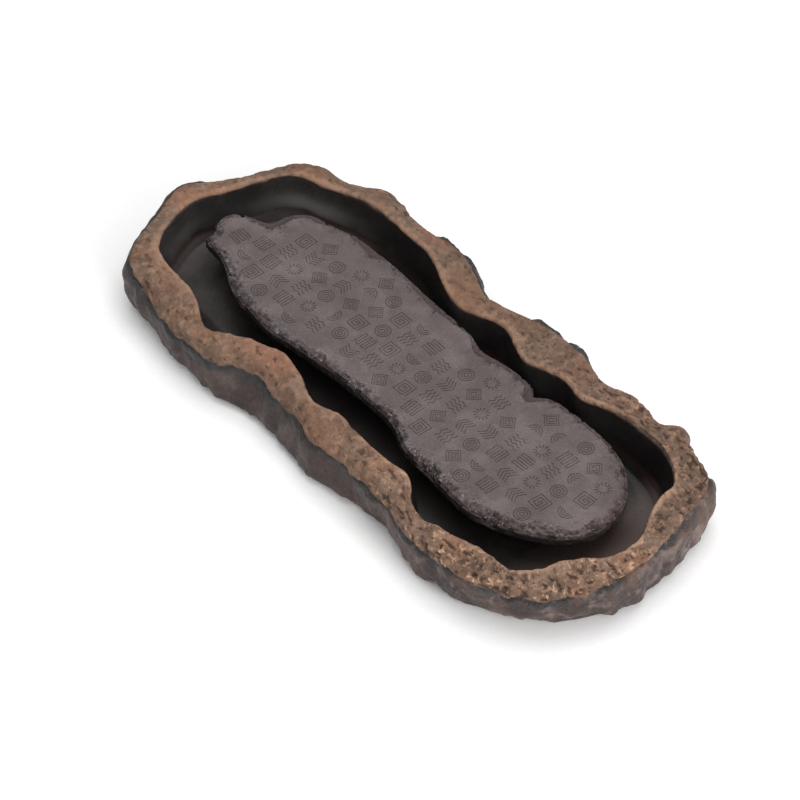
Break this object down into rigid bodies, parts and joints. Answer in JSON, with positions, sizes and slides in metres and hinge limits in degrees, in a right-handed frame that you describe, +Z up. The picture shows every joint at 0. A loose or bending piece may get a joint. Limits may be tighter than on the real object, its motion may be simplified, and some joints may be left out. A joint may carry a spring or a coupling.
{
  "type": "gongfu tea tray",
  "caption": "Long irregular stoneware tea tray: a dark glazed well with a bare undulating rim and a loose carved slab standing in it above the drained water.",
  "frame": {"origin": "on the table under the middle of the tray", "axes": "+X along the tray towards its round end, +Y across it towards the back, +Z up"},
  "size_m": [0.37, 0.156, 0.035],
  "materials": {
    "basin_stoneware": "matte",
    "slab_stoneware": "matte",
    "soft_pad": "matte"
  },
  "bodies": {
    "basin": {"tray_basin": "basin_stoneware", "base_pad_1": "soft_pad", "base_pad_2": "soft_pad", "base_pad_3": "soft_pad", "base_pad_4": "soft_pad"},
    "slab": {"tea_slab": "slab_stoneware", "slab_pad_1": "soft_pad", "slab_pad_2": "soft_pad", "slab_pad_3": "soft_pad", "slab_pad_4": "soft_pad"}
  },
  "joints": [
    {"name": "slab_lift", "type": "slide", "parent": "basin", "child": "slab", "axis": [0, 0, 1], "range_m": [0, 0.06]}
  ]
}
